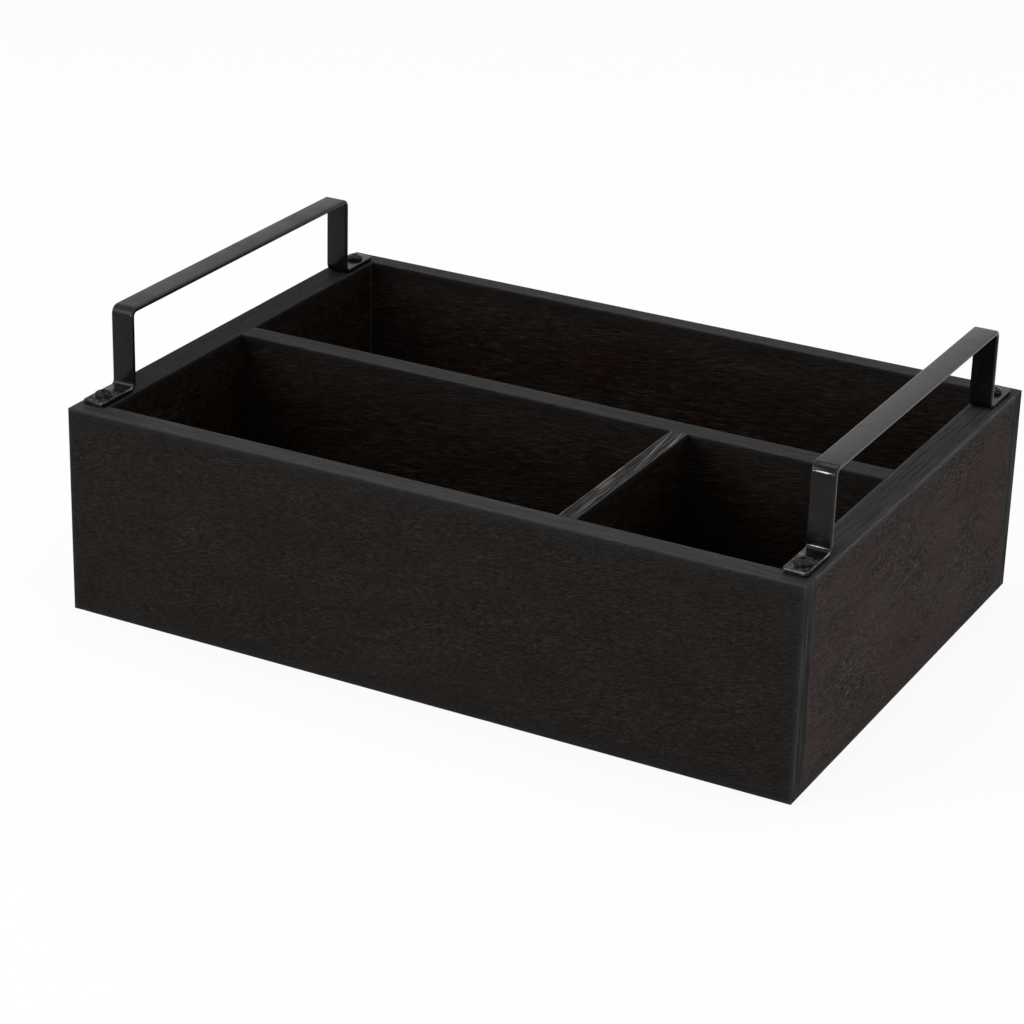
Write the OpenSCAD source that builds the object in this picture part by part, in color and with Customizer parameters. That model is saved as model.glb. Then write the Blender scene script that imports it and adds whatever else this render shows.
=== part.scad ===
// Open box for a worktop: four stained boards, a grooved-in base, two dividers and two bent steel handles.
// Sizes are in millimetres. X runs to the right, Y to the back and Z up, from the middle of the footprint.

/* [Box] */
// Length of the box, left to right
body_w = 380; // [340:5:440]
// Depth of the box, front to back
body_d = 265; // [240:5:300]
// Height of the boards round the box
body_h = 105; // [92:1:130]
// Thickness of the front board
front_t = 12; // [10:0.5:15]
// Thickness of the back board
back_t = 10; // [10:0.5:15]
// Thickness of the two end boards
end_t = 16; // [16:0.5:20]
// Radius of the eased outer edges
edge_ease = 1; // [0.4:0.1:1.6]
// Radius of the fine edges at joints, inner rims and dividers
seam_ease = 0.3; // [0.1:0.05:0.5]

/* [Dividers] */
// Thickness of the long divider
long_divider_t = 12; // [10:0.5:15]
// Distance from the middle of the box back to the middle of the long divider
long_divider_y = 0; // [-30:1:40]
// Thickness of the cross divider
cross_divider_t = 9; // [8:0.5:12]
// Distance from the middle of the box right to the middle of the cross divider
cross_divider_x = 70; // [-80:1:110]

/* [Base] */
// Thickness of the base
base_t = 5; // [4:0.5:7]
// Height of the underside of the base above the table
base_rise = 8; // [6:0.5:10]
// Depth of the groove that holds the base
groove_depth = 5; // [3:0.5:6]
// Play above the base in its groove
groove_play = 0.2; // [0.1:0.05:0.4]
// Gap between the edge of the base and the bottom of its groove
base_gap = 0.5; // [0.3:0.1:0.9]

/* [Dowels] */
// Diameter of the dowels in the corners and in the long divider
dowel_d = 6; // [5:0.5:7]
// Diameter of the dowels in the cross divider
thin_dowel_d = 5; // [4:0.5:5.5]
// Length of every dowel
dowel_l = 28; // [24:1:34]
// Depth to which a dowel enters the face of a board
dowel_seat = 7; // [5:0.5:8]
// Play between a dowel and the wall of its hole
dowel_play = 0.05; // [0.02:0.01:0.1]
// Space past each end of a dowel in its hole
dowel_end_gap = 1; // [0.5:0.1:1.5]
// Chamfer on the ends of a dowel
dowel_chamfer = 0.8; // [0.4:0.1:1.2]
// Height of the lower dowels above the table
dowel_rise = 32; // [26:1:38]
// Distance from the rim down to the upper dowels
dowel_drop = 30; // [27:1:36]

/* [Handles] */
// Width of the steel strap
strap_w = 12; // [10:0.5:13]
// Thickness of the steel strap
strap_t = 2.5; // [2:0.1:3.5]
// Height of the grip's top above the rim
handle_rise = 42; // [34:1:60]
// Inner radius of the four bends
bend_r = 1; // [0.6:0.1:3]
// Length of each foot
foot_l = 25; // [22:1:32]
// Distance from the end of a foot to the outer face of the front or back board
foot_margin = 8; // [4:0.5:14]
// Distance from the outer face of the end board to the strap
strap_inset = 3; // [1:0.5:4]
// Radius of the two corners of a foot
foot_corner_r = 1.5; // [0.5:0.1:3]

/* [Screws] */
// Diameter of the pan head
head_d = 8.2; // [7:0.1:9.5]
// Height of the pan head
head_h = 2.6; // [2:0.1:3.2]
// Height of the upright rim of the pan head
head_rim_h = 0.8; // [0.4:0.1:1.2]
// Diameter of the shank
shank_d = 4; // [3:0.1:4.4]
// Length of the screw below its head
screw_l = 19; // [14:1:21]
// Length of the pointed end
screw_point_l = 4; // [2:0.5:6]
// Width of one arm of the cross recess
recess_w = 1; // [0.6:0.1:1.2]
// Length of the cross recess
recess_l = 4.4; // [3:0.1:5]
// Depth of the cross recess
recess_deep = 1.5; // [0.8:0.1:1.9]
// Distance from the end of a foot to the middle of its screw
screw_from_end = 8.5; // [7:0.5:14]
// Play between the shank and the hole in the foot
foot_hole_play = 0.25; // [0.1:0.05:0.5]
// Play between the shank and its pilot hole in the wood
pilot_play = 0.03; // [0.01:0.01:0.1]
// Space below the point of a screw in its pilot hole
pilot_end_gap = 1; // [0.5:0.1:1.5]

/* [Hidden] */
// Segments in the rounding of an eased edge
ease_steps = 3;
// Segments in a full turn of holes, dowels, screws and bends
turn_steps = 40;
// Rings in the dome of a screw head
dome_steps = 6;
// How square the shoulder of the dome is: below 1 is squarer than an ellipse
dome_power = 0.7;
// How far a cut runs past the face that it opens
over = 1;

// Inner faces of the boards
inner_left = -body_w / 2 + end_t;
inner_right = body_w / 2 - end_t;
inner_front = -body_d / 2 + front_t;
inner_back = body_d / 2 - back_t;
inner_w = inner_right - inner_left;
inner_d = inner_back - inner_front;

// The base and its groove
base_top = base_rise + base_t;
groove_h = base_t + groove_play;
groove_reach = 2 * groove_depth;

// Dividers
long_divider_front = long_divider_y - long_divider_t / 2;
cross_divider_l = long_divider_front - inner_front;
divider_h = body_h - base_top;

// Heights of the two dowels in each joint
dowel_heights = [dowel_rise, body_h - dowel_drop];
dowel_hole_r = dowel_d / 2 + dowel_play;
thin_dowel_hole_r = thin_dowel_d / 2 + dowel_play;

// Depths of a dowel's two holes: in the face of one board, and in the end of the other
face_hole_depth = dowel_seat + dowel_end_gap;
end_hole_depth = dowel_l - dowel_seat + dowel_end_gap;

// Distance of a dowel's middle from the joint, inside the board whose end it enters
dowel_shift = dowel_l / 2 - dowel_seat;

// Handles: the run is measured over the outer faces of the uprights
handle_run = body_d - 2 * (foot_margin + foot_l);
handle_reach = handle_run + 2 * foot_l;
strap_middle = body_w / 2 - strap_inset - strap_w / 2;
screw_y = body_d / 2 - foot_margin - screw_from_end;
shank_in_wood = screw_l - strap_t;
foot_hole_r = shank_d / 2 + foot_hole_play;
pilot_r = shank_d / 2 + pilot_play;

// Names of the ends, sides and levels, and the direction of each
ENDS = ["left", "right"];
SIDES = ["front", "back"];
LEVELS = ["lower", "upper"];
DIRECTION = [-1, 1];

function screw_name(end, side) = str(ENDS[end], "_handle_", SIDES[side], "_screw");
function corner_dowel_name(side, end, level) = str(SIDES[side], "_", ENDS[end], "_", LEVELS[level], "_dowel");
function long_dowel_name(end, level) = str("long_divider_", ENDS[end], "_", LEVELS[level], "_dowel");
function cross_dowel_name(side, level) = str("cross_divider_", SIDES[side], "_", LEVELS[level], "_dowel");

// Colours
FACE_STAIN = [0.135, 0.118, 0.110];
END_STAIN = [0.170, 0.148, 0.138];
INNER_STAIN = [0.090, 0.070, 0.060];
STREAKED_STAIN = [0.230, 0.212, 0.196];
STEEL_COAT = [0.200, 0.200, 0.208];
SCREW_COAT = [0.150, 0.150, 0.156];
BEECH = [0.780, 0.640, 0.450];

// Points of a quarter turn about a centre
function quarter(centre, r, start) =
    [for (i = [0 : ease_steps]) let (a = start + 90 * i / ease_steps) centre + r * [cos(a), sin(a)]];

// Rectangle from the origin, its corners eased by four radii, anticlockwise from the origin
module eased_outline(size, radii) {
    polygon(concat(
        quarter([radii[0], radii[0]], radii[0], 180),
        quarter([size.x - radii[1], radii[1]], radii[1], 270),
        quarter([size.x - radii[2], size.y - radii[2]], radii[2], 0),
        quarter([radii[3], size.y - radii[3]], radii[3], 90)
    ));
}

// Board with its corner at the origin, eased in plan, seen from its end along X, and seen from the front
module board(size, plan, section, face) {
    intersection() {
        linear_extrude(size.z) eased_outline([size.x, size.y], plan);
        rotate([90, 0, 90]) linear_extrude(size.x) eased_outline([size.y, size.z], section);
        translate([0, size.y, 0]) rotate([90, 0, 0]) linear_extrude(size.y)
            eased_outline([size.x, size.z], face);
    }
}

// Round hole along +Y from a point, open at both ends of its length
module hole_along_y(from, r, depth) {
    translate(from) rotate([-90, 0, 0]) cylinder(r = r, h = depth, $fn = turn_steps);
}

// Round hole along +X from a point
module hole_along_x(from, r, depth) {
    translate(from) rotate([0, 90, 0]) cylinder(r = r, h = depth, $fn = turn_steps);
}

// Pilot holes of the four screws, for every board that they reach
module pilot_holes() {
    for (end = DIRECTION, side = DIRECTION)
        translate([end * strap_middle, side * screw_y, body_h - shank_in_wood - pilot_end_gap])
            cylinder(r = pilot_r, h = shank_in_wood + pilot_end_gap + over, $fn = turn_steps);
}

// Groove for the base, as one slab that reaches into every board
module base_slot() {
    translate([inner_left - groove_depth, inner_front - groove_depth, base_rise])
        cube([inner_w + groove_reach, inner_d + groove_reach, groove_h]);
}

// Holes of the eight corner dowels in the front and back boards
module corner_holes_in_faces() {
    for (end = DIRECTION, z = dowel_heights) {
        x = end * (body_w / 2 - end_t / 2);
        hole_along_y([x, inner_front - face_hole_depth, z], dowel_hole_r, face_hole_depth + over);
        hole_along_y([x, inner_back - over, z], dowel_hole_r, face_hole_depth + over);
    }
}

// Holes of the cross divider's dowels, in the front board and in the long divider
module cross_holes_in_faces() {
    for (z = dowel_heights) {
        x = cross_divider_x;
        hole_along_y([x, inner_front - face_hole_depth, z], thin_dowel_hole_r, face_hole_depth + over);
        hole_along_y([x, long_divider_front - over, z], thin_dowel_hole_r, face_hole_depth + over);
    }
}

module front_panel() color(FACE_STAIN) {
    difference() {
        translate([-body_w / 2, -body_d / 2, 0]) board(
            [body_w, front_t, body_h],
            [edge_ease, edge_ease, seam_ease, seam_ease],
            [edge_ease, seam_ease, seam_ease, edge_ease],
            [edge_ease, edge_ease, edge_ease, edge_ease]
        );
        base_slot();
        corner_holes_in_faces();
        cross_holes_in_faces();
        pilot_holes();
    }
}

module back_panel() color(FACE_STAIN) {
    difference() {
        translate([-body_w / 2, inner_back, 0]) board(
            [body_w, back_t, body_h],
            [seam_ease, seam_ease, edge_ease, edge_ease],
            [seam_ease, edge_ease, edge_ease, seam_ease],
            [edge_ease, edge_ease, edge_ease, edge_ease]
        );
        base_slot();
        corner_holes_in_faces();
        pilot_holes();
    }
}

// End board on the right: the left one is its mirror image
module end_panel() {
    difference() {
        translate([inner_right, inner_front, 0]) board(
            [end_t, inner_d, body_h],
            [seam_ease, seam_ease, seam_ease, seam_ease],
            [seam_ease, seam_ease, seam_ease, seam_ease],
            [seam_ease, edge_ease, edge_ease, seam_ease]
        );
        base_slot();
        pilot_holes();
        for (z = dowel_heights) {
            x = body_w / 2 - end_t / 2;
            hole_along_y([x, inner_front - over, z], dowel_hole_r, end_hole_depth + over);
            hole_along_y([x, inner_back - end_hole_depth, z], dowel_hole_r, end_hole_depth + over);
            hole_along_x([inner_right - over, long_divider_y, z], dowel_hole_r, face_hole_depth + over);
        }
    }
}

module left_end_panel() color(END_STAIN) mirror([1, 0, 0]) end_panel();

module right_end_panel() color(END_STAIN) end_panel();

// Thin sheet that lies on the lower wall of the groove
module base_panel() color(INNER_STAIN) {
    reach = groove_depth - base_gap;
    translate([inner_left - reach, inner_front - reach, base_rise])
        cube([inner_w + 2 * reach, inner_d + 2 * reach, base_t]);
}

module long_divider() color(INNER_STAIN) {
    difference() {
        translate([inner_left, long_divider_front, base_top]) board(
            [inner_w, long_divider_t, divider_h],
            [seam_ease, seam_ease, seam_ease, seam_ease],
            [seam_ease, seam_ease, seam_ease, seam_ease],
            [seam_ease, seam_ease, seam_ease, seam_ease]
        );
        cross_holes_in_faces();
        for (z = dowel_heights) {
            hole_along_x([inner_left - over, long_divider_y, z], dowel_hole_r, end_hole_depth + over);
            hole_along_x([inner_right - end_hole_depth, long_divider_y, z], dowel_hole_r, end_hole_depth + over);
        }
    }
}

module cross_divider() color(STREAKED_STAIN) {
    difference() {
        translate([cross_divider_x - cross_divider_t / 2, inner_front, base_top]) board(
            [cross_divider_t, cross_divider_l, divider_h],
            [seam_ease, seam_ease, seam_ease, seam_ease],
            [seam_ease, seam_ease, seam_ease, seam_ease],
            [seam_ease, seam_ease, seam_ease, seam_ease]
        );
        for (z = dowel_heights) {
            x = cross_divider_x;
            hole_along_y([x, inner_front - over, z], thin_dowel_hole_r, end_hole_depth + over);
            hole_along_y([x, long_divider_front - end_hole_depth, z], thin_dowel_hole_r, end_hole_depth + over);
        }
    }
}

// Quarter ring of the strap's section, from +X round to +Y
module strap_bend() {
    intersection() {
        difference() {
            circle(r = bend_r + strap_t, $fn = turn_steps);
            circle(r = bend_r, $fn = turn_steps);
        }
        square(bend_r + strap_t);
    }
}

// One half of the handle seen from its end: foot, bend, upright, bend and half of the grip
module half_handle_outline() {
    upright_x = handle_run / 2;
    translate([upright_x + bend_r, 0]) square([foot_l - bend_r, strap_t]);
    translate([upright_x + bend_r, strap_t + bend_r]) rotate(180) strap_bend();
    translate([upright_x - strap_t, strap_t + bend_r])
        square([strap_t, handle_rise - 2 * (strap_t + bend_r)]);
    translate([upright_x - strap_t - bend_r, handle_rise - strap_t - bend_r]) strap_bend();
    translate([0, handle_rise - strap_t]) square([upright_x - strap_t - bend_r, strap_t]);
}

// The strap lies across X and runs along Y, with its feet on the rim
module strap_handle() {
    difference() {
        translate([-strap_w / 2, 0, 0]) rotate([90, 0, 90]) linear_extrude(strap_w) {
            half_handle_outline();
            mirror([1, 0]) half_handle_outline();
        }
        for (side = DIRECTION) {
            translate([0, side * screw_y, -over])
                cylinder(r = foot_hole_r, h = strap_t + 2 * over, $fn = turn_steps);
            for (edge = DIRECTION) foot_corner_cut(side, edge);
        }
    }
}

// What is cut from one corner of a foot to round it
module foot_corner_cut(side, edge) {
    r = foot_corner_r;
    scale([edge, side, 1]) translate([strap_w / 2 - r, handle_reach / 2 - r, -over]) difference() {
        cube([r + over, r + over, strap_t + 2 * over]);
        cylinder(r = r, h = strap_t + 2 * over, $fn = turn_steps);
    }
}

module left_handle() color(STEEL_COAT) translate([-strap_middle, 0, body_h]) strap_handle();

module right_handle() color(STEEL_COAT) translate([strap_middle, 0, body_h]) strap_handle();

// Half section of a pan-head screw, its head's seat at zero
module screw_section() {
    r = head_d / 2;
    dome_h = head_h - head_rim_h;
    dome = [for (i = [0 : dome_steps]) let (a = 90 * i / dome_steps)
        [r * pow(cos(a), dome_power), head_rim_h + dome_h * pow(sin(a), dome_power)]];
    polygon(concat(
        [[0, -screw_l], [shank_d / 2, -screw_l + screw_point_l], [shank_d / 2, 0], [r, 0]],
        dome
    ));
}

module screw() {
    difference() {
        rotate_extrude($fn = turn_steps) screw_section();
        for (turn = [0, 90]) rotate(turn)
            translate([-recess_l / 2, -recess_w / 2, head_h - recess_deep])
                cube([recess_l, recess_w, recess_deep + over]);
    }
}

module handle_screw(end, side) color(SCREW_COAT)
    translate([DIRECTION[end] * strap_middle, DIRECTION[side] * screw_y, body_h + strap_t]) screw();

// Dowel along Z, its middle at the origin
module dowel(d) {
    half = dowel_l / 2;
    rotate_extrude($fn = turn_steps) polygon([
        [0, -half], [d / 2 - dowel_chamfer, -half], [d / 2, -half + dowel_chamfer],
        [d / 2, half - dowel_chamfer], [d / 2 - dowel_chamfer, half], [0, half]
    ]);
}

module corner_dowel(side, end, level) color(BEECH) {
    joint = [inner_front, inner_back][side];
    translate([DIRECTION[end] * (body_w - end_t) / 2, joint - DIRECTION[side] * dowel_shift, dowel_heights[level]])
        rotate([90, 0, 0]) dowel(dowel_d);
}

module long_divider_dowel(end, level) color(BEECH) {
    joint = [inner_left, inner_right][end];
    translate([joint - DIRECTION[end] * dowel_shift, long_divider_y, dowel_heights[level]])
        rotate([0, 90, 0]) dowel(dowel_d);
}

module cross_divider_dowel(side, level) color(BEECH) {
    joint = [inner_front, long_divider_front][side];
    translate([cross_divider_x, joint - DIRECTION[side] * dowel_shift, dowel_heights[level]])
        rotate([90, 0, 0]) dowel(thin_dowel_d);
}

front_panel();
back_panel();
left_end_panel();
right_end_panel();
base_panel();
long_divider();
cross_divider();
left_handle();
right_handle();
for (end = [0, 1], side = [0, 1])
    handle_screw(end, side);
for (side = [0, 1], end = [0, 1], level = [0, 1])
    corner_dowel(side, end, level);
for (end = [0, 1], level = [0, 1])
    long_divider_dowel(end, level);
for (side = [0, 1], level = [0, 1])
    cross_divider_dowel(side, level);
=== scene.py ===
import math
from collections import namedtuple

import bpy
import numpy as np
from mathutils import Euler, Matrix, Vector


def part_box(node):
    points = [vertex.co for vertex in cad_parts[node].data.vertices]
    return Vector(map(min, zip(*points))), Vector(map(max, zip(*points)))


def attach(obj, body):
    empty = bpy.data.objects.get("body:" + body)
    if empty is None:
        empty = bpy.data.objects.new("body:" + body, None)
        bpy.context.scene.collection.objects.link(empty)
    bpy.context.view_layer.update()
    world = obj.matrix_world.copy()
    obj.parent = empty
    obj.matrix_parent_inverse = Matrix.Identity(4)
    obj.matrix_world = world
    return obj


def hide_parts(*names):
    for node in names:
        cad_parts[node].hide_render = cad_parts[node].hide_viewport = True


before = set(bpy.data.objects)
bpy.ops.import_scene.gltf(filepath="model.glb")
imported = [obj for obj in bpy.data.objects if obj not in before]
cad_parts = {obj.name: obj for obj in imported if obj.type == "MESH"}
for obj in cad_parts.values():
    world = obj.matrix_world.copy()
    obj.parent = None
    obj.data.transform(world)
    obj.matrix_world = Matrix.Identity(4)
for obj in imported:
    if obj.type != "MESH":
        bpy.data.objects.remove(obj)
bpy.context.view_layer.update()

# One millimetre in the scene's metres
MM = 0.001
X, Y, Z = 0, 1, 2

# Camera: the point it aims at, how far it stands, its angles in degrees and its lens
CAMERA_AIM = Vector((-20.7, 0.0, 40.5)) * MM
CAMERA_DISTANCE = 1550.3 * MM
CAMERA_AZIMUTH = 27.72
CAMERA_ELEVATION = 23.93
CAMERA_ROLL = 1.606
CAMERA_LENS = 110.67

# Studio: the floor's side, and how bright the world is for the eye and for soft light
FLOOR_SIDE = 12.0
BACKDROP_LEVEL = 1.0
AMBIENT_LEVEL = 0.55
FLOOR_COLOUR = (0.86, 0.86, 0.86, 1.0)
FLOOR_GLOW_SHARE = 0.90

# Boards: the rounding of open edges and of tight seams, and the mesh's steps
EDGE_EASE = 0.6 * MM
SEAM_EASE = 0.25 * MM
NEAR_STEPS = np.array([0.0, 0.12, 0.26, 0.44, 0.68, 1.0, 1.45, 2.1, 3.6, 6.0, 9.5, 14.0]) * MM
STEP_ALONG = 3.0 * MM
STEP_ACROSS = 12.0 * MM
WEAR_AND_GLINT_WIDTH = 0.8 * MM
MARGIN_WIDTH = 7.0 * MM
GROOVE_PLAY = 0.2 * MM
HOLE_PLAY = 0.05 * MM
SMOOTH_ANGLE = 38.0

# Straps: thickness, the feet's length and corners, and the rounding of bends, long edges and cut ends
STRAP_T = 2.5 * MM
FOOT_LENGTH = 25.0 * MM
LUMPY_LENGTH = 16.0 * MM
FOOT_CORNER_R = 1.5 * MM
BEND_R = 2.0 * MM
STRAP_EASE = 0.9 * MM
FOOT_EASE = 0.45 * MM
END_EASE = 0.35 * MM
DULL_FROM = 8.0 * MM
DULL_TO = 20.0 * MM
# Painted glint along the right handle's front foot end: places back from the end, and the share of bare steel and glint
# at each
END_RIM_PLACES = (0.0, 0.08 * MM, 0.25 * MM, 0.45 * MM)
END_RIM_SHARES = (0.0, 0.35, 0.6, 0.0)

# Screws: head, shank, thread and cross recess
HEAD_R = 4.1 * MM
HEAD_H = 2.6 * MM
HEAD_RIM_H = 0.8 * MM
SHANK_R = 2.0 * MM
SHANK_CORE_R = 1.45 * MM
THREAD_PITCH = 1.4 * MM
POINT_LENGTH = 4.0 * MM
RECESS_LENGTH = 4.4 * MM
RECESS_WIDTH = 1.05 * MM
RECESS_DEPTH = 1.5 * MM
RECESS_TAPER = 0.6
SCREW_SEGMENTS = 48


def mesh_object(name, points, faces):
    """A new object at the origin with the given points in metres and faces."""
    mesh = bpy.data.meshes.new(name)
    mesh.from_pydata([tuple(p) for p in points], [], [tuple(int(i) for i in f) for f in faces])
    obj = bpy.data.objects.new(name, mesh)
    bpy.context.collection.objects.link(obj)
    return obj


def smooth(obj):
    """Smooth shading, broken at the sharp edges."""
    obj.data.shade_smooth()
    obj.data.set_sharp_from_angle(angle=math.radians(SMOOTH_ANGLE))


def cut(obj, cutter):
    """Takes the cutter's volume out of the object and deletes the cutter."""
    modifier = obj.modifiers.new("cut", "BOOLEAN")
    modifier.operation = "DIFFERENCE"
    modifier.solver = "EXACT"
    modifier.object = cutter
    graph = bpy.context.evaluated_depsgraph_get()
    mesh = bpy.data.meshes.new_from_object(obj.evaluated_get(graph))
    obj.modifiers.clear()
    old = obj.data
    obj.data = mesh
    mesh.name = obj.name
    bpy.data.meshes.remove(old)
    bpy.data.meshes.remove(cutter.data)


def place(obj, node, material):
    """Dresses a piece, lets it stand for its CAD node and ride on the part's body."""
    obj.data.materials.clear()
    obj.data.materials.append(material)
    smooth(obj)
    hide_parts(node)
    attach(obj, "root")


# Materials

class Surface:
    """One material and short calls that build its nodes."""

    def __init__(self, name):
        self.material = bpy.data.materials.new(name)
        self.material.use_nodes = True
        self.tree = self.material.node_tree
        self.shader = self.tree.nodes["Principled BSDF"]
        coordinates = self.tree.nodes.new("ShaderNodeTexCoord")
        self.place = coordinates.outputs["Object"]
        self.normal = coordinates.outputs["Normal"]

    def node(self, kind, inputs=(), **settings):
        """A new node; inputs are (socket, value or link) pairs."""
        node = self.tree.nodes.new(kind)
        for key, value in settings.items():
            setattr(node, key, value)
        for socket, value in inputs:
            if isinstance(value, bpy.types.NodeSocket):
                self.tree.links.new(value, node.inputs[socket])
            else:
                node.inputs[socket].default_value = value
        return node

    def math(self, operation, a, b=0.0, c=0.0):
        return self.node("ShaderNodeMath", ((0, a), (1, b), (2, c)), operation=operation).outputs[0]

    def vector(self, operation, a, b):
        return self.node("ShaderNodeVectorMath", ((0, a), (1, b)), operation=operation).outputs[0]

    def noise(self, vector, stretch, detail=3.0, roughness=0.55, distortion=0.0, output=0):
        """Noise whose cells measure about stretch, one size for each axis."""
        scaled = self.vector("DIVIDE", vector, stretch)
        node = self.node("ShaderNodeTexNoise", (("Vector", scaled), ("Scale", 1.0), ("Detail", detail),
                                                ("Roughness", roughness), ("Distortion", distortion)))
        return node.outputs[output]

    def between(self, value, low, high, to_low=0.0, to_high=1.0):
        """Maps low..high to to_low..to_high, and stops at both ends."""
        inputs = (("Value", value), ("From Min", low), ("From Max", high), ("To Min", to_low), ("To Max", to_high))
        return self.node("ShaderNodeMapRange", inputs, clamp=True).outputs[0]

    def mix(self, factor, a, b, blend="MIX"):
        """Mixes two colours."""
        node = self.node("ShaderNodeMix", (("Factor", factor),), data_type="RGBA", blend_type=blend)
        for socket, value in ((6, a), (7, b)):
            if isinstance(value, bpy.types.NodeSocket):
                self.tree.links.new(value, node.inputs[socket])
            else:
                node.inputs[socket].default_value = (*value, 1.0)
        return node.outputs[2]

    def ramp(self, value, stops):
        """A colour for the value, through the given (position, colour) stops."""
        node = self.node("ShaderNodeValToRGB", ((0, value),))
        elements = node.color_ramp.elements
        while len(elements) < len(stops):
            elements.new(0.5)
        for element, (position, colour) in zip(elements, stops):
            element.position = position
            element.color = (*colour, 1.0)
        return node.outputs[0]

    def stored(self, name):
        """A number that the mesh keeps for each point, such as how close an edge is."""
        return self.node("ShaderNodeAttribute", attribute_name=name).outputs["Fac"]

    def finish(self, colour, roughness, height, bump_depth, bump_strength, specular):
        """Links the colour, roughness and bump to the shader."""
        bump = self.node("ShaderNodeBump", (("Height", height), ("Distance", bump_depth), ("Strength", bump_strength)))
        self.tree.links.new(colour, self.shader.inputs["Base Color"])
        self.tree.links.new(roughness, self.shader.inputs["Roughness"])
        self.tree.links.new(bump.outputs[0], self.shader.inputs["Normal"])
        self.shader.inputs["Specular IOR Level"].default_value = specular
        return self.material


# Stain colours: the darkest streak, the middle one and the lightest, then near the edges, on end grain (its own
# paler tone and a painted sheen), a painted sheen on top, paler edges for wear and a painted highlight, and along bare
# lines
DARK_STAIN = (0.0008, 0.0005, 0.0003)
MID_STAIN = (0.0062, 0.0038, 0.0022)
LIGHT_STAIN = (0.0215, 0.0165, 0.0128)
RED_STAIN = (0.0110, 0.0050, 0.0042)
MARGIN_STAIN = (0.0125, 0.0125, 0.0130)
END_GRAIN_TONE_AND_SHEEN = (0.0330, 0.0335, 0.0335)
PAINTED_TOP_SHEEN = (0.0400, 0.0390, 0.0400)
EDGE_WEAR_AND_HIGHLIGHT = (0.0460, 0.0440, 0.0425)
BARE_LINE = (0.2600, 0.2450, 0.2250)
END_GRAIN_ROUGHNESS = 0.88
# Coat on edges: thin, and a painted glint
THIN_COAT_AND_GLINT = (0.0180, 0.0180, 0.0185)
GRIT = (0.0900, 0.0900, 0.0920)
# Bare steel on marked foot edges, with a painted glint
BARE_STEEL_AND_GLINT = (0.1700, 0.1700, 0.1750)
# Each board's grain axis, the grain's slope in degrees, place in the grain, streak length and height in mm,
# spread of the tones (smaller is harsher), lightness, redness, richness, roughness, gloss, how pale its
# margins are, how strong the painted sheen on its top is, and whether bare lines cross its top
Wood = namedtuple("Wood", "grain slope shift streak spread lightness red rich rough specular margin top lines")
WOODS = {
    "front_panel": Wood(X, 9, (13, 41, 7), (3.4, 0.58), 0.165, 1.25, 0.22, 0.92, 0.55, 0.050, 1.0, 0.72, False),
    "back_panel": Wood(X, 6, (251, 90, 33), (8.0, 0.52), 0.150, 1.45, 0.25, 1.10, 0.56, 0.050, 0.25, 0.48, False),
    "left_end_panel": Wood(Y, 0, (-77, 12, 59), (6.0, 0.55), 0.135, 1.00, 0.30, 1.15, 0.56, 0.020, 0.60, 0.37, False),
    # The right end panel's high lightness and pale margins are a painted sheen, standing in for the grazing reflection
    # on its outer face
    "right_end_panel": Wood(Y, 0, (177, -64, 21), (3.6, 0.56), 0.120, 3.45, 0.75, 0.66, 0.82, 0.035, 2.8, 1.0, False),
    "long_divider": Wood(X, 7, (-140, -15, 80), (8.0, 0.52), 0.155, 1.35, 0.20, 1.05, 0.56, 0.045, 0.50, 0.46, False),
    "cross_divider": Wood(Y, 0, (34, 150, -18), (9.0, 0.55), 0.130, 0.95, 0.15, 1.20, 0.60, 0.020, 0.50, 0.48, True),
    "base_panel": Wood(X, 0, (310, -35, 50), (8.0, 0.60), 0.130, 0.90, 0.25, 1.10, 0.56, 0.050, 0.60, 0.0, False),
}
# Bare lines on top, each from one (share of length from the back, share of width) to another, and its strength
BARE_LINES = (
    ((-0.02, 0.10), (0.52, 0.86), 1.0),
    ((-0.02, 0.68), (0.36, 0.99), 1.0),
    ((0.08, 0.03), (0.70, 0.10), 0.8),
    ((0.40, 0.62), (0.72, 0.95), 0.35),
    ((0.62, 0.80), (0.92, 0.50), 0.6),
    ((0.45, 0.30), (1.0, 0.72), 0.25),
    ((0.30, 0.96), (1.0, 0.97), 0.4),
)
BARE_LINE_WIDTH = 0.36


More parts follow.
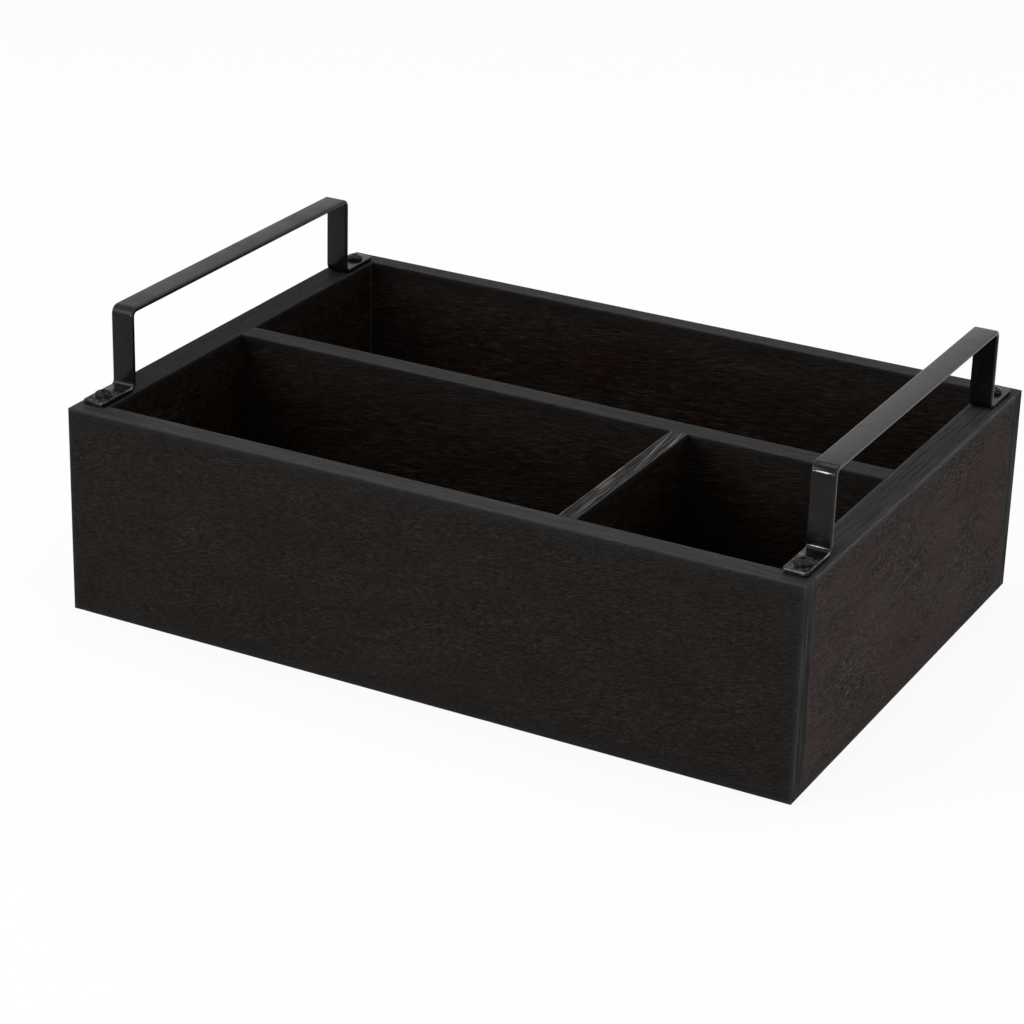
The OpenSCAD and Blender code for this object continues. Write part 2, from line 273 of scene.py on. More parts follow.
def stained_wood(name, wood, low, high):
    """Dark stained wood: short fibres, drifting tone, open pores, grey margins, a painted sheen on top and on end
    grain, and edges paled by wear and a painted highlight.
    """
    s = Surface(name)
    turn = (0.0, 0.0, 0.0) if wood.grain == X else (0.0, 0.0, math.radians(-90.0))
    mapping = (("Vector", s.place), ("Location", wood.shift), ("Rotation", turn), ("Scale", (1 / MM,) * 3))
    straight = s.node("ShaderNodeMapping", mapping).outputs[0]
    sloping = s.node("ShaderNodeMapping", (("Vector", straight),
                                           ("Rotation", (0.0, math.radians(wood.slope), 0.0)))).outputs[0]
    sway = s.vector("SUBTRACT", s.noise(straight, (80.0, 25.0, 25.0), output=1), (0.5, 0.5, 0.5))
    along = s.vector("ADD", sloping, s.vector("MULTIPLY", sway, (0.0, 4.0, 4.0)))
    length, height = wood.streak
    fibre = s.noise(along, (length, height, height), detail=2.0)
    figure = s.noise(along, (7.0 * length, 8.0 * height, 8.0 * height), detail=2.0)
    fleck = s.noise(along, (0.4 * length, 0.5 * height, 0.5 * height), detail=1.0)
    pores = s.between(s.noise(along, (0.8 * length, 0.35 * height, 0.35 * height), detail=1.0), 0.60, 0.68)
    normal = s.node("ShaderNodeSeparateXYZ", ((0, s.normal),))
    upward = s.between(normal.outputs[Z], 0.6, 0.9)
    end_grain = s.between(s.math("ABSOLUTE", normal.outputs[wood.grain]), 0.70, 0.90)
    ring_lines = s.noise(straight, (60.0, 2.2, 30.0), detail=3.0)

    tone = s.math("ADD", s.math("MULTIPLY", fibre, 0.62), s.math("MULTIPLY", figure, 0.10))
    tone = s.math("ADD", tone, s.math("MULTIPLY", fleck, 0.28))
    tone = s.math("ADD", tone, s.math("MULTIPLY", end_grain, s.math("SUBTRACT", ring_lines, tone)))
    tone = s.between(tone, 0.5 - wood.spread, 0.5 + wood.spread)
    colour = s.ramp(tone, ((0.0, DARK_STAIN), (0.5, MID_STAIN), (1.0, LIGHT_STAIN)))
    warm = s.between(s.noise(straight, (60.0, 26.0, 26.0)), 0.40, 0.66, 0.0, wood.red)
    colour = s.mix(warm, colour, RED_STAIN)
    drift = s.noise(straight, (48.0, 22.0, 22.0), detail=2.0)
    clouds = s.noise(straight, (60.0, 28.0, 28.0), detail=2.0, output=1)
    cloud = s.node("ShaderNodeSeparateColor", ((0, clouds),)).outputs[2]
    shade = s.between(cloud, 0.3, 0.7, 0.87 * wood.lightness, 1.13 * wood.lightness)
    rich = s.between(drift, 0.36, 0.64, 0.70 * wood.rich, 1.20 * wood.rich)
    colour = s.node("ShaderNodeHueSaturation", (("Saturation", rich), ("Value", shade), ("Color", colour))).outputs[0]
    colour = s.mix(s.math("MULTIPLY", pores, 0.7), colour, DARK_STAIN)
    streaky = s.between(tone, 0.1, 0.9, 0.25, 1.0)
    margin_stain = tuple(wood.margin * level for level in MARGIN_STAIN)
    colour = s.mix(s.math("MULTIPLY", s.stored("margin"), 0.8), colour, s.mix(streaky, DARK_STAIN, margin_stain))
    # End grain is paler: its own tone and a painted sheen for the reflection its rough surface no longer gives
    colour = s.mix(end_grain, colour, s.mix(streaky, DARK_STAIN, END_GRAIN_TONE_AND_SHEEN))
    # Painted sheen: faces that look up are paled towards a grey in strands, standing in for the grazing reflection of
    # the surround
    faintest = 0.15 if wood.lines else 0.5
    strands = s.between(s.noise(straight, (24.0, 1.5, 1.5), detail=4.0), 0.36, 0.62, faintest, 1.0)
    colour = s.mix(s.math("MULTIPLY", upward, wood.top), colour, s.mix(strands, DARK_STAIN, PAINTED_TOP_SHEEN))
    # Edges are paled by wear and a painted highlight; where two bands sum at a corner the paling is a painted glint
    wear_and_glint = s.stored("wear_and_glint")
    rub_and_glint = s.between(s.noise(straight, (9.0, 1.6, 1.6), detail=4.0), 0.38, 0.62, 0.28, 0.55)
    rub_and_glint = s.math("MAXIMUM", s.math("MULTIPLY", rub_and_glint, wear_and_glint), s.between(wear_and_glint, 1.3, 2.4))
    colour = s.mix(rub_and_glint, colour, tuple(wood.lightness * level for level in EDGE_WEAR_AND_HIGHLIGHT))
    if wood.lines:
        spot = s.node("ShaderNodeSeparateXYZ", ((0, s.place),))
        width = float(high[X] - low[X])
        along_top = s.between(spot.outputs[Y], float(high[Y]), float(low[Y]))
        across = s.between(spot.outputs[X], float(low[X]), float(high[X]))
        waver = s.between(s.noise(straight, (22.0, 60.0, 60.0), detail=2.0), 0.3, 0.7, -0.05, 0.05)
        hairlines = s.between(s.noise(straight, (30.0, 0.5, 0.5), detail=1.0), 0.54, 0.70, 0.0, 0.45)
        total = s.math("MAXIMUM", s.stored("bare_edge"), hairlines)
        for (start, from_side), (end, to_side), strength in BARE_LINES:
            course = s.math("ADD", s.between(along_top, start, end, from_side, to_side), waver)
            off = s.math("ABSOLUTE", s.math("SUBTRACT", across, course))
            line = s.between(off, 0.0, BARE_LINE_WIDTH * MM / width, strength, 0.0)
            begun = s.between(along_top, start, start + 0.05)
            ended = s.between(along_top, end - 0.10, end, 1.0, 0.0)
            total = s.math("MAXIMUM", total, s.math("MULTIPLY", line, s.math("MULTIPLY", begun, ended)))
        faint = s.between(s.noise(straight, (20.0, 5.0, 5.0), detail=2.0), 0.35, 0.55, 0.35, 1.0)
        colour = s.mix(s.math("MULTIPLY", s.math("MULTIPLY", total, faint), upward), colour, BARE_LINE)
    roughness = s.between(s.math("ADD", fibre, s.math("MULTIPLY", pores, 0.3)), 0.35, 0.75,
                          wood.rough - 0.10, wood.rough + 0.12)
    roughness = s.math("MAXIMUM", roughness, s.math("MULTIPLY", end_grain, END_GRAIN_ROUGHNESS))
    relief = s.math("ADD", fibre, s.math("MULTIPLY", fleck, 0.6))
    relief = s.math("SUBTRACT", relief, s.math("MULTIPLY", pores, 0.6))
    return s.finish(colour, roughness, relief, 0.22 * MM, 0.9, wood.specular)


def powder_coat(name, colour_low, colour_high, roughness, specular):
    """Black coat: a fine orange peel over slow waves, paler on edges where thin and with a painted glint; lumpy and
    dull where marked, and bare steel with a painted glint on marked edges.
    """
    s = Surface(name)
    peel = s.noise(s.place, (0.45 * MM,) * 3, detail=3.0, roughness=0.6)
    wave = s.noise(s.place, (9.0 * MM,) * 3, detail=3.0)
    cloud = s.noise(s.place, (14.0 * MM,) * 3, detail=4.0)
    colour = s.mix(s.between(cloud, 0.35, 0.65), colour_low, colour_high)
    thin = s.between(s.noise(s.place, (2.0 * MM,) * 3, detail=4.0), 0.40, 0.65, 0.2, 0.9)
    # Paler on edges: a thin coat and a painted glint
    colour = s.mix(s.math("MULTIPLY", thin, s.stored("wear_and_glint")), colour, THIN_COAT_AND_GLINT)
    rough = s.between(s.math("ADD", cloud, s.math("MULTIPLY", peel, 0.4)), 0.5, 0.9, roughness - 0.05, roughness + 0.06)
    relief = s.math("ADD", s.math("MULTIPLY", peel, 0.10), s.math("MULTIPLY", wave, 0.7))
    lumpy = s.stored("lumpy")
    lumps = s.noise(s.place, (1.5 * MM, 2.8 * MM, 1.5 * MM), detail=2.0)
    grit = s.between(s.noise(s.place, (0.8 * MM, 2.0 * MM, 0.8 * MM), detail=1.0), 0.55, 0.66, 0.0, 0.8)
    colour = s.mix(s.math("MULTIPLY", grit, lumpy), colour, GRIT)
    # Bare steel with a painted highlight along the marked foot edges
    bare = s.between(s.noise(s.place, (1.5 * MM,) * 3, detail=2.0), 0.35, 0.60, 0.3, 1.0)
    colour = s.mix(s.math("MULTIPLY", bare, s.stored("rub_and_glint")), colour, BARE_STEEL_AND_GLINT)
    relief = s.math("ADD", relief, s.math("MULTIPLY", s.math("MULTIPLY", lumps, lumpy), 24.0))
    rough = s.math("ADD", rough, s.math("MULTIPLY", s.stored("dull"), 0.22))
    rough = s.math("ADD", rough, s.math("MULTIPLY", lumpy, 0.34))
    return s.finish(colour, rough, relief, 0.20 * MM, 1.0, specular)


def raw_wood(name, light, dark):
    """Pale dowel wood with short flecks along the piece."""
    s = Surface(name)
    fibre = s.noise(s.place, (0.9 * MM, 5.0 * MM, 0.9 * MM), detail=4.0)
    fleck = s.between(s.noise(s.place, (0.25 * MM, 1.6 * MM, 0.25 * MM), detail=1.0), 0.60, 0.70)
    colour = s.mix(s.between(fibre, 0.35, 0.65), dark, light)
    colour = s.mix(s.math("MULTIPLY", fleck, 0.5), colour, dark)
    return s.finish(colour, s.between(fibre, 0.3, 0.7, 0.55, 0.72), fibre, 0.1 * MM, 0.5, 0.4)


# Boards

def cut_positions(low, high, step):
    """Positions from low to high: close together near both ends, about step apart between."""
    near = NEAR_STEPS[NEAR_STEPS < 0.4 * (high - low)]
    count = max(1, round((high - low - 2 * near[-1]) / step))
    middle = np.linspace(low + near[-1], high - near[-1], count + 1)
    return np.concatenate([low + near[:-1], middle, (high - near[:-1])[::-1]])


def box_surface(positions):
    """Points and outward faces of a box, cut at the given positions along each axis."""
    counts = [len(line) for line in positions]
    faces = []
    for axis in (X, Y, Z):
        u, v = (axis + 1) % 3, (axis + 2) % 3
        at_u, at_v = np.meshgrid(np.arange(counts[u] - 1), np.arange(counts[v] - 1), indexing="ij")
        for side in (0, counts[axis] - 1):
            corners = []
            for step_u, step_v in ((0, 0), (1, 0), (1, 1), (0, 1)):
                index = [None] * 3
                index[axis] = np.full(at_u.shape, side)
                index[u] = at_u + step_u
                index[v] = at_v + step_v
                corners.append(np.ravel_multi_index(index, counts).ravel())
            if side == 0:
                corners.reverse()
            faces.append(np.stack(corners, axis=1))
    codes, faces = np.unique(np.concatenate(faces), return_inverse=True)
    index = np.unravel_index(codes, counts)
    points = np.stack([positions[axis][index[axis]] for axis in (X, Y, Z)], axis=1)
    return points, faces.reshape(-1, 4)


def wander(rng, along):
    """A smooth factor near 1 along an edge, with a few small nicks."""
    factor = np.ones_like(along)
    for wave, share in ((67.0, 0.03), (23.0, 0.02), (9.5, 0.015)):
        factor += share * np.sin(2 * math.pi * along / (wave * MM) + rng.uniform(0, 2 * math.pi))
    low, high = along.min(), along.max()
    for _ in range(int((high - low) / (150.0 * MM))):
        centre = rng.uniform(low, high)
        width = rng.uniform(1.5, 3.5) * MM
        factor += rng.uniform(0.1, 0.3) * np.exp(-((along - centre) / width) ** 2)
    return factor


def corner_distances(points, low, high, axis, side_u, side_v):
    """How far the points are from the two faces that meet at one edge along the axis."""
    u, v = (axis + 1) % 3, (axis + 2) % 3
    from_u = high[u] - points[:, u] if side_u else points[:, u] - low[u]
    from_v = high[v] - points[:, v] if side_v else points[:, v] - low[v]
    return from_u, from_v


# How a board meets its neighbours: the axis of its butted ends, or the Y side that others butt on
Board = namedtuple("Board", "slot butt_axis lap_side")
BOARDS = {
    "front_panel": Board("stained_face_board", None, 1),
    "back_panel": Board("stained_face_board", None, 0),
    "left_end_panel": Board("stained_end_board", Y, None),
    "right_end_panel": Board("stained_end_board", Y, None),
    "long_divider": Board("stained_inner_board", X, None),
    "cross_divider": Board("streaked_board", Y, None),
    "base_panel": Board("base_sheet", None, None),
}


# The one tight edge that is paled by wear and a painted highlight, and the one open edge left bare
SEAM_WEAR_AND_HIGHLIGHT = ("left_end_panel", Z, 1, 1)
BARE_EDGE = ("cross_divider", Y, 1, 0)
BARE_WIDTH = 0.5 * MM


def is_seam(board, axis, side_u, side_v):
    """True for an edge that lies tight against a neighbouring board."""
    u, v = (axis + 1) % 3, (axis + 2) % 3
    if board.butt_axis in (u, v):
        return True
    side_y = side_u if u == Y else side_v
    return axis == Z and board.lap_side is not None and side_y == board.lap_side


def edges_of(board):
    """Each of the board's twelve edges as (axis, side_u, side_v, seam or not)."""
    for axis in (X, Y, Z):
        for side_u in (0, 1):
            for side_v in (0, 1):
                yield axis, side_u, side_v, is_seam(board, axis, side_u, side_v)


def ease_edges(points, low, high, board, rng):
    """Rounds the twelve edges, open ones by a radius that wanders along them."""
    for axis, side_u, side_v, seam in edges_of(board):
        u, v = (axis + 1) % 3, (axis + 2) % 3
        from_u, from_v = corner_distances(points, low, high, axis, side_u, side_v)
        ease = np.full(len(points), SEAM_EASE) if seam else EDGE_EASE * wander(rng, points[:, axis])
        reach_u, reach_v = ease - from_u, ease - from_v
        reach = np.hypot(reach_u, reach_v)
        outside = (reach_u > 0) & (reach_v > 0) & (reach > ease)
        for reached, along, side in ((reach_u, u, side_u), (reach_v, v, side_v)):
            inward = (reached - reached * ease / np.where(reach > 0, reach, 1.0)) * outside
            points[:, along] += -inward if side else inward


def store(obj, name, values):
    """Keeps one number per point, for the material to read."""
    obj.data.attributes.new(name, "FLOAT", "POINT").data.foreach_set("value", np.asarray(values, dtype=np.float32))


def store_edge_bands(obj, node, low, high, board):
    """Stores how close each point is to the edges: a narrow band for wear and a painted highlight, summed at corners,
    and a wide margin.
    """
    points = np.empty(len(obj.data.vertices) * 3)
    obj.data.vertices.foreach_get("co", points)
    points = points.reshape(-1, 3)
    wear_and_glint = np.zeros(len(points))
    margin = np.zeros(len(points))
    bare = np.zeros(len(points))
    for axis, side_u, side_v, seam in edges_of(board):
        away = np.hypot(*corner_distances(points, low, high, axis, side_u, side_v))
        share = 0.25 if seam else 1.0
        rub_and_glint = 2.0 if (node, axis, side_u, side_v) == SEAM_WEAR_AND_HIGHLIGHT else share
        if (node, axis, side_u, side_v) == BARE_EDGE:
            bare = np.exp(-((away / BARE_WIDTH) ** 2))
        wear_and_glint += rub_and_glint * np.exp(-away / WEAR_AND_GLINT_WIDTH)
        margin = np.maximum(margin, share * np.exp(-((away / MARGIN_WIDTH) ** 2)))
    store(obj, "wear_and_glint", wear_and_glint)
    store(obj, "margin", margin)
    store(obj, "bare_edge", bare)


def rod(axis, low, high, play, segments=32):
    """Points and faces of a round rod that fills the box from low to high, made wider by the play."""
    u, v = (axis + 1) % 3, (axis + 2) % 3
    centre = (low + high) / 2
    radius = (high[u] - low[u]) / 2 + play
    points = []
    for end in (low[axis] - play, high[axis] + play):
        for i in range(segments):
            angle = 2 * math.pi * i / segments
            point = np.array(centre)
            point[axis] = end
            point[u] += radius * math.cos(angle)
            point[v] += radius * math.sin(angle)
            points.append(point)
    faces = [tuple(reversed(range(segments))), tuple(range(segments, 2 * segments))]
    for i in range(segments):
        after = (i + 1) % segments
        faces.append((i, after, segments + after, segments + i))
    return points, faces


def join_shapes(name, shapes):
    """One object out of several (points, faces) shapes."""
    all_points, all_faces = [], []
    for points, faces in shapes:
        start = len(all_points)
        all_points += list(points)
        all_faces += [tuple(start + int(i) for i in face) for face in faces]
    return mesh_object(name, all_points, all_faces)


def corners_of(node):
    """A CAD node's lowest and highest corner as arrays."""
    low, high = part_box(node)
    return np.array(low), np.array(high)


def fittings_in(low, high):
    """Cutters for the dowel holes and screw holes that reach into the box from low to high."""
    shapes = []
    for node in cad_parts:
        is_dowel = node.endswith("dowel")
        if not (is_dowel or node.endswith("screw")):
            continue
        node_low, node_high = corners_of(node)
        if np.any(node_low >= high) or np.any(node_high <= low):
            continue
        if is_dowel:
            shapes.append(rod(int(np.argmax(node_high - node_low)), node_low, node_high, HOLE_PLAY))
        else:
            centre = (node_low + node_high) / 2
            shank_low = np.array([centre[X] - SHANK_R, centre[Y] - SHANK_R, node_low[Z] - MM])
            shank_high = np.array([centre[X] + SHANK_R, centre[Y] + SHANK_R, node_high[Z]])
            shapes.append(rod(Z, shank_low, shank_high, HOLE_PLAY))
    return shapes


def make_board(node, board, seed):
    """One board: eased, lightly nicked edges marked for wear and a painted highlight, with its groove and holes cut."""
    rng = np.random.default_rng(seed)
    low, high = corners_of(node)
    long_axis = int(np.argmax(high - low))
    steps = [STEP_ALONG if axis == long_axis else STEP_ACROSS for axis in (X, Y, Z)]
    points, faces = box_surface([cut_positions(low[axis], high[axis], steps[axis]) for axis in (X, Y, Z)])
    ease_edges(points, low, high, board, rng)
    obj = mesh_object(node + "_wood", points, faces)
    shapes = fittings_in(low, high)
    base_low, base_high = corners_of("base_panel")
    if node in ("front_panel", "back_panel", "left_end_panel", "right_end_panel"):
        lines = [np.array([base_low[axis] - GROOVE_PLAY, base_high[axis] + GROOVE_PLAY]) for axis in (X, Y, Z)]
        shapes.append(box_surface(lines))
    if shapes:
        cut(obj, join_shapes(node + "_cutter", shapes))
    store_edge_bands(obj, node, low, high, board)
    place(obj, node, stained_wood(node + "_stain", WOODS[node], low, high))


# Strap handles

def half_strap_line(foot_end, upright, foot_z, grip_z):
    """Half of a strap's middle line in Y and Z, as (y, z, tangent angle) from foot end to mid grip."""
    bend = BEND_R + STRAP_T / 2
    line = []
    for fall in (0.0, 0.08, 0.2, 0.4, 0.7, 1.05, 1.5, 3.0, 6.0, 10.0, 15.0, 18.0):
        line.append((foot_end + fall * MM, foot_z, 0.0))
    arc = [math.radians(angle) for angle in range(0, 91, 9)]
    for angle in arc:
        line.append((upright - bend + bend * math.sin(angle), foot_z + bend - bend * math.cos(angle), angle))
    for share in (0.2, 0.4, 0.6, 0.8):
        line.append((upright, foot_z + bend + share * (grip_z - foot_z - 2 * bend), math.pi / 2))
    for angle in arc:
        line.append((upright + bend - bend * math.cos(angle), grip_z - bend + bend * math.sin(angle),
                     math.pi / 2 - angle))
    for share in (0.2, 0.4, 0.6, 0.8, 1.0):
        start = upright + bend
        line.append((start * (1 - share), grip_z, 0.0))
    return line


def strap_section(half_width, half_thick, ease):
    """The strap's rounded cross-section as (across, up, weight for the paler edge and its painted glint, facing up)
    points, anticlockwise.
    """
    section = []
    for turn, (side_x, side_z) in enumerate(((1, 1), (-1, 1), (-1, -1), (1, -1))):
        for step in range(7):
            at = math.radians(90.0 * turn + 15.0 * step)
            section.append((side_x * (half_width - ease) + ease * math.cos(at),
                            side_z * (half_thick - ease) + ease * math.sin(at),
                            math.sin(math.pi * step / 6), max(0.0, math.sin(at))))
    return section


def make_handle(node):
    """A bent strap with round-cornered feet, swept along its middle line."""
    low, high = corners_of(node)
    centre_x = (low[X] + high[X]) / 2
    half_width = (high[X] - low[X]) / 2
    coat_lumps = 1.0 if centre_x < 0 else 0.5
    foot_end = low[Y]
    upright = foot_end + FOOT_LENGTH + STRAP_T / 2
    half = half_strap_line(foot_end, upright, low[Z] + STRAP_T / 2, high[Z] - STRAP_T / 2)
    line = half + [(-y, z, -angle) for y, z, angle in reversed(half[:-1])]
    points, wear_and_glint, lumpy, rub_and_glint, rings = [], [], [], [], []
    for y, z, angle in line:
        from_end = min(y - foot_end, -foot_end - y)
        in_corner = max(0.0, FOOT_CORNER_R - from_end)
        in_ease = max(0.0, END_EASE - from_end)
        width = half_width - FOOT_CORNER_R + math.sqrt(FOOT_CORNER_R ** 2 - in_corner ** 2)
        thick = STRAP_T / 2 - END_EASE + math.sqrt(END_EASE ** 2 - in_ease ** 2)
        ease = float(np.interp(from_end, (FOOT_LENGTH - 7 * MM, FOOT_LENGTH), (FOOT_EASE, STRAP_EASE)))
        section = strap_section(width, thick, min(ease, thick))
        # Painted glint: the front feet's upper edges (only the +X edge on the left handle) and the right front foot's
        # cut end are marked for bare steel with a painted highlight
        at_end = float(np.interp(from_end, END_RIM_PLACES, END_RIM_SHARES)) if centre_x > 0 else 0.0
        ring = []
        for across, up, at_corner, upward in section:
            ring.append(len(points))
            points.append((centre_x + across, y - up * math.sin(angle), z + up * math.cos(angle)))
            wear_and_glint.append(max(at_corner, 1.0 if from_end < END_EASE else 0.0))
            lumpy.append(coat_lumps * upward if END_EASE < y - foot_end < LUMPY_LENGTH else 0.0)
            at_side = (at_corner if across > 0 else math.sqrt(at_corner)) if centre_x > 0 or across > 0 else 0.0
            rub_and_glint.append(max(at_side, at_end) if upward > 0 and y < foot_end + FOOT_LENGTH else 0.0)
        rings.append(ring)
    count = len(rings[0])
    faces = []
    for here, there in zip(rings, rings[1:]):
        for i in range(count):
            after = (i + 1) % count
            faces.append((here[i], here[after], there[after], there[i]))
    faces.append(tuple(reversed(rings[0])))
    faces.append(tuple(rings[-1]))
    obj = mesh_object(node + "_coated", points, faces)
    store(obj, "wear_and_glint", wear_and_glint)
    store(obj, "lumpy", lumpy)
    store(obj, "rub_and_glint", rub_and_glint)
    if centre_x < 0:
        dull = [1.0 if point[Z] > high[Z] - 1.2 * STRAP_T else 0.0 for point in points]
    else:
        dull = [1.0 if point[Y] < 0 and DULL_FROM < point[Z] - low[Z] < DULL_TO else 0.0 for point in points]
    store(obj, "dull", dull)
    return obj


# Screws

def screw_profile(top, bottom):
    """The screw's outline as (radius, z, threaded or not) from the head's top to the tip."""
    seat = top - HEAD_H
    power = 2.5
    profile = []
    for step in range(13):
        radius = HEAD_R * math.sin(math.pi / 2 * step / 12)
        rise = (1 - (radius / HEAD_R) ** power) ** (1 / power)
        profile.append((radius, seat + HEAD_RIM_H + (HEAD_H - HEAD_RIM_H) * rise, False))
    profile += [(HEAD_R, seat + 0.2 * MM, False), (HEAD_R - 0.1 * MM, seat + 0.05 * MM, False),
                (HEAD_R - 0.25 * MM, seat, False), (SHANK_R, seat, False), (SHANK_R, seat - 2.6 * MM, False)]
    rows = int((seat - 2.6 * MM - bottom) / THREAD_PITCH * 8)
    for row in range(1, rows):
        profile.append((SHANK_R, seat - 2.6 * MM + (bottom - seat + 2.6 * MM) * row / rows, True))
    return profile


def make_screw(node, turn):
    """A pan-head wood screw with its thread and a tapered cross recess."""
    low, high = corners_of(node)
    centre = (low + high) / 2
    profile = screw_profile(high[Z], low[Z])
    points, faces = [(centre[X], centre[Y], high[Z])], []
    for radius, z, threaded in profile[1:]:
        for i in range(SCREW_SEGMENTS):
            angle = 2 * math.pi * i / SCREW_SEGMENTS
            r = radius
            if threaded:
                phase = (z / THREAD_PITCH + i / SCREW_SEGMENTS) % 1.0
                ridge = max(0.0, 1.0 - abs(phase - 0.5) * 4.0)
                taper = min(1.0, (z - low[Z]) / POINT_LENGTH)
                r = taper * (SHANK_CORE_R + (SHANK_R - SHANK_CORE_R) * ridge)
            points.append((centre[X] + r * math.cos(angle), centre[Y] + r * math.sin(angle), z))
    points.append((centre[X], centre[Y], low[Z]))
    count = SCREW_SEGMENTS
    for i in range(count):
        after = (i + 1) % count
        faces.append((0, 1 + i, 1 + after))
        for row in range(len(profile) - 2):
            here, there = 1 + row * count, 1 + (row + 1) * count
            faces.append((here + i, there + i, there + after, here + after))
        last = 1 + (len(profile) - 2) * count
        faces.append((last + i, len(points) - 1, last + after))
    obj = mesh_object(node + "_coated", points, faces)
    cut(obj, recess_cutter(centre, high[Z], turn))
    coat_lumps = (0.8 if centre[X] < 0 else 0.3) if centre[Y] < 0 else 0.0
    store(obj, "lumpy", np.full(len(obj.data.vertices), coat_lumps))
    return obj


def recess_cutter(centre, top, turn):
    """A plus-shaped plug that narrows downward."""
    arm, half = RECESS_LENGTH / 2, RECESS_WIDTH / 2
    quarter = ((arm, -half), (arm, half), (half, half))
    outline = []
    for i in range(4):
        for x, y in quarter:
            angle = math.radians(turn + 90.0 * i)
            outline.append((x * math.cos(angle) - y * math.sin(angle), x * math.sin(angle) + y * math.cos(angle)))
    points = []
    for z, scale in ((top - RECESS_DEPTH, RECESS_TAPER), (top + 0.2 * MM, 1.0)):
        points += [(centre[X] + x * scale, centre[Y] + y * scale, z) for x, y in outline]
    count = len(outline)
    faces = [tuple(reversed(range(count))), tuple(range(count, 2 * count))]
    for i in range(count):
        after = (i + 1) % count
        faces.append((i, after, count + after, count + i))
    return mesh_object("recess_cutter", points, faces)


# The part's pieces

for seed, (node, board) in enumerate(BOARDS.items()):
    make_board(node, board, seed)

coat = powder_coat("strap_coat", (0.0028, 0.0028, 0.0031), (0.0048, 0.0048, 0.0052), 0.15, 0.16)
screw_coat = powder_coat("screw_coat", (0.0022, 0.0022, 0.0024), (0.0042, 0.0042, 0.0045), 0.26, 0.12)
SCREW_TURNS = {"left_handle_front_screw": 20.0, "left_handle_back_screw": 66.0,
               "right_handle_front_screw": 41.0, "right_handle_back_screw": 8.0}
for node in ("left_handle", "right_handle"):
    handle = make_handle(node)
    handle_low, handle_high = corners_of(node)
    cut(handle, join_shapes(node + "_cutter", fittings_in(handle_low, handle_high)))
    place(handle, node, coat)
for node, turn in SCREW_TURNS.items():
    place(make_screw(node, turn), node, screw_coat)

dowel_wood = raw_wood("dowel_wood", (0.62, 0.45, 0.29), (0.44, 0.29, 0.17))
for node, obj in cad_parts.items():
    if node.endswith("dowel"):
        for material_slot in obj.material_slots:
            material_slot.material = dowel_wood


# Studio

def seen_or_mirrored(tree):
    """1 for rays that come from the camera, a mirror or glass, else 0."""
    path = tree.nodes.new("ShaderNodeLightPath")
    total = path.outputs["Is Camera Ray"]
    for name in ("Is Glossy Ray", "Is Transmission Ray"):
        larger = tree.nodes.new("ShaderNodeMath")
        larger.operation = "MAXIMUM"
        tree.links.new(total, larger.inputs[0])
        tree.links.new(path.outputs[name], larger.inputs[1])
        total = larger.outputs[0]
    return total


def make_floor():
    """A pale floor that looks white but keeps a soft shadow."""
    half = FLOOR_SIDE / 2
    corners = [(-half, -half, 0.0), (half, -half, 0.0), (half, half, 0.0), (-half, half, 0.0)]
    floor = mesh_object("floor", corners, [(0, 1, 2, 3)])
    material = bpy.data.materials.new("floor_paper")
    material.use_nodes = True
    tree = material.node_tree
    shader = tree.nodes["Principled BSDF"]
    shader.inputs["Base Color"].default_value = FLOOR_COLOUR
    shader.inputs["Roughness"].default_value = 0.9
    shader.inputs["Specular IOR Level"].default_value = 0.0
    glow = tree.nodes.new("ShaderNodeEmission")
    share = tree.nodes.new("ShaderNodeMath")
    share.operation = "MULTIPLY"
    share.inputs[1].default_value = FLOOR_GLOW_SHARE
    mix = tree.nodes.new("ShaderNodeMixShader")
    tree.links.new(seen_or_mirrored(tree), share.inputs[0])
    tree.links.new(share.outputs[0], mix.inputs[0])
    tree.links.new(shader.outputs[0], mix.inputs[1])
    tree.links.new(glow.outputs[0], mix.inputs[2])
    tree.links.new(mix.outputs[0], tree.nodes["Material Output"].inputs["Surface"])
    floor.data.materials.append(material)


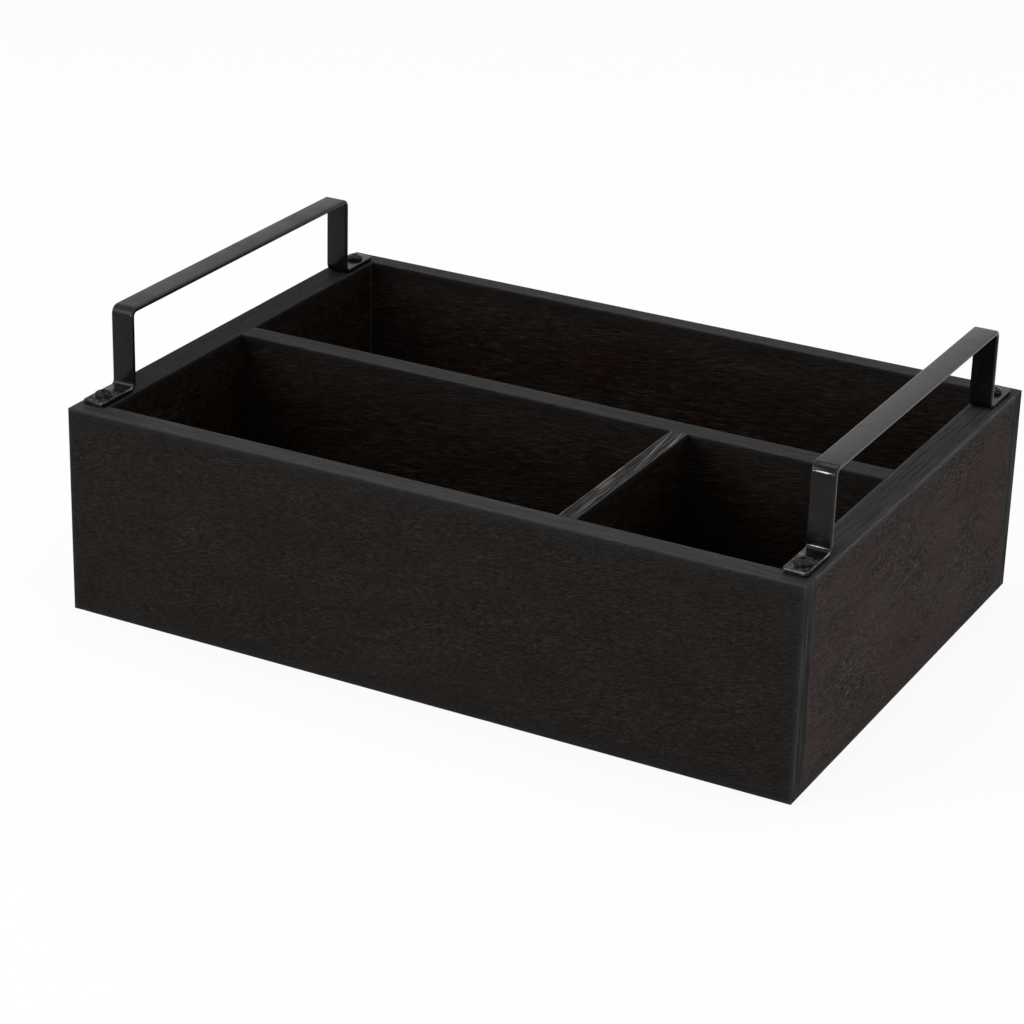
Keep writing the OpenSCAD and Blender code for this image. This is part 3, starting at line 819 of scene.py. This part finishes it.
def make_world():
    """A white surround, with a lower level for soft light."""
    world = bpy.data.worlds.new("surround")
    world.use_nodes = True
    tree = world.node_tree
    level = tree.nodes.new("ShaderNodeMapRange")
    level.inputs["To Min"].default_value = AMBIENT_LEVEL
    level.inputs["To Max"].default_value = BACKDROP_LEVEL
    tree.links.new(seen_or_mirrored(tree), level.inputs["Value"])
    background = tree.nodes["Background"]
    background.inputs["Color"].default_value = (1.0, 1.0, 1.0, 1.0)
    tree.links.new(level.outputs[0], background.inputs["Strength"])
    bpy.context.scene.world = world


def aim(obj, location, target):
    """Puts a lamp or camera at location, looking at the target."""
    obj.location = location
    obj.rotation_euler = (Vector(target) - Vector(location)).to_track_quat("-Z", "Y").to_euler()


def make_lamp(name, location, width, height, power):
    """A soft box that points at the object."""
    light = bpy.data.lights.new(name, "AREA")
    light.shape = "RECTANGLE"
    light.size = width
    light.size_y = height
    light.energy = power
    lamp = bpy.data.objects.new(name, light)
    lamp.visible_camera = False
    bpy.context.collection.objects.link(lamp)
    aim(lamp, location, (0.0, 0.0, 0.06))
    return lamp


def make_camera():
    """The photograph's camera."""
    turn = Euler((math.radians(90.0 - CAMERA_ELEVATION), 0.0, math.radians(CAMERA_AZIMUTH))).to_matrix()
    rotation = turn @ Matrix.Rotation(math.radians(CAMERA_ROLL), 3, "Z")
    data = bpy.data.cameras.new("camera")
    data.lens = CAMERA_LENS
    data.clip_end = 50.0
    camera = bpy.data.objects.new("camera", data)
    bpy.context.collection.objects.link(camera)
    camera.matrix_world = Matrix.Translation(CAMERA_AIM + rotation.col[2] * CAMERA_DISTANCE) @ rotation.to_4x4()
    bpy.context.scene.camera = camera


make_floor()
make_world()
make_lamp("front_softbox", (-0.90, -1.10, 0.90), 1.0, 0.8, 11.5)
make_lamp("back_softbox", (1.00, 1.80, 1.10), 1.5, 0.8, 3.5)
make_lamp("right_softbox", (2.1, -0.3, 0.5), 1.0, 0.7, 10.0)
make_lamp("top_softbox", (0.0, 0.2, 2.3), 1.6, 1.4, 18.0)
make_lamp("glint_lamp", (-0.37, -1.60, 0.34), 0.22, 0.36, 24.0).visible_diffuse = False
make_camera()
bpy.context.scene.view_settings.view_transform = "Standard"
